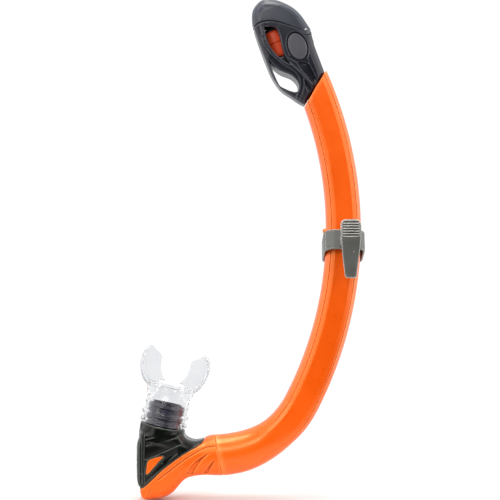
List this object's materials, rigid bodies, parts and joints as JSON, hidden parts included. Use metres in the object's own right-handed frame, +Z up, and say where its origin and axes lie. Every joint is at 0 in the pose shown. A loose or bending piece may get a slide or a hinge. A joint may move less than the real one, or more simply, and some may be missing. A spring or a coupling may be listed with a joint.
{
  "type": "dry-top snorkel",
  "caption": "Curved snorkel tube with a float valve head, a sprung strap clip, a purge elbow and a clear silicone mouthpiece that turns on its neck.",
  "frame": {"origin": "centre of the mouth port, on the axis that the mouthpiece turns about", "axes": "+Z up along the worn snorkel, +X from the mouth towards the tube, +Y across the tube's curve"},
  "size_m": [0.1986, 0.055, 0.4375],
  "materials": {
    "head_grey": "satin moulded",
    "elbow_black": "satin moulded",
    "tube_orange": "gloss",
    "float_red": "satin",
    "clip_grey": "satin moulded",
    "seal": "matt",
    "silicone": "clear silicone",
    "steel": "stainless"
  },
  "bodies": {
    "snorkel": {"main_tube": "tube_orange", "dry_top_body": "head_grey", "port_plate": "head_grey", "side_disc_front": "head_grey", "side_disc_back": "head_grey", "top_joint_seal": "seal", "cap_hinge_pin": "steel", "lower_shell": "tube_orange", "lower_joint_seal": "seal", "elbow_body": "elbow_black", "inlay_front": "tube_orange", "inlay_back": "tube_orange", "purge_seat": "elbow_black", "purge_cover": "elbow_black"},
    "cap": {"dry_top_cap": "head_grey"},
    "float": {"float": "float_red", "float_seal": "seal"},
    "clip": {"clip_collar": "clip_grey", "clip_lever_pin": "steel", "clip_spring": "steel"},
    "lever": {"clip_lever": "clip_grey"},
    "membrane": {"purge_membrane": "seal"},
    "mouthpiece": {"mouthpiece": "silicone", "swivel_ring": "head_grey"}
  },
  "joints": [
    {"name": "cap_hinge", "type": "hinge", "parent": "snorkel", "child": "cap", "pos_m": [0.11761, 0, 0.30987], "axis": [0, 1, 0], "range_deg": [0, 60]},
    {"name": "float_rise", "type": "slide", "parent": "snorkel", "child": "float", "axis": [-0.3584, 0, 0.9336], "range_m": [0, 0.0055]},
    {"name": "clip_along_tube", "type": "hinge", "parent": "snorkel", "child": "clip", "pos_m": [-0.17817, 0, 0.13602], "axis": [0, -1, 0], "range_deg": [-8, 0.2]},
    {"name": "lever_press", "type": "hinge", "parent": "clip", "child": "lever", "pos_m": [0.15502, -0.0255, 0.12765], "axis": [-1, 0, 0], "range_deg": [0, 9], "stiffness_Nm_per_rad": 0.15, "springref_deg": -20.05},
    {"name": "membrane_lift", "type": "slide", "parent": "snorkel", "child": "membrane", "axis": [-1, 0, 0], "range_m": [0, 0.0016], "stiffness_N_per_m": 60, "springref_m": -0.0006},
    {"name": "mouthpiece_turn", "type": "hinge", "parent": "snorkel", "child": "mouthpiece", "pos_m": [0, 0, 0], "axis": [0.2079, 0, 0.9781], "range_deg": [-60, 60]}
  ]
}
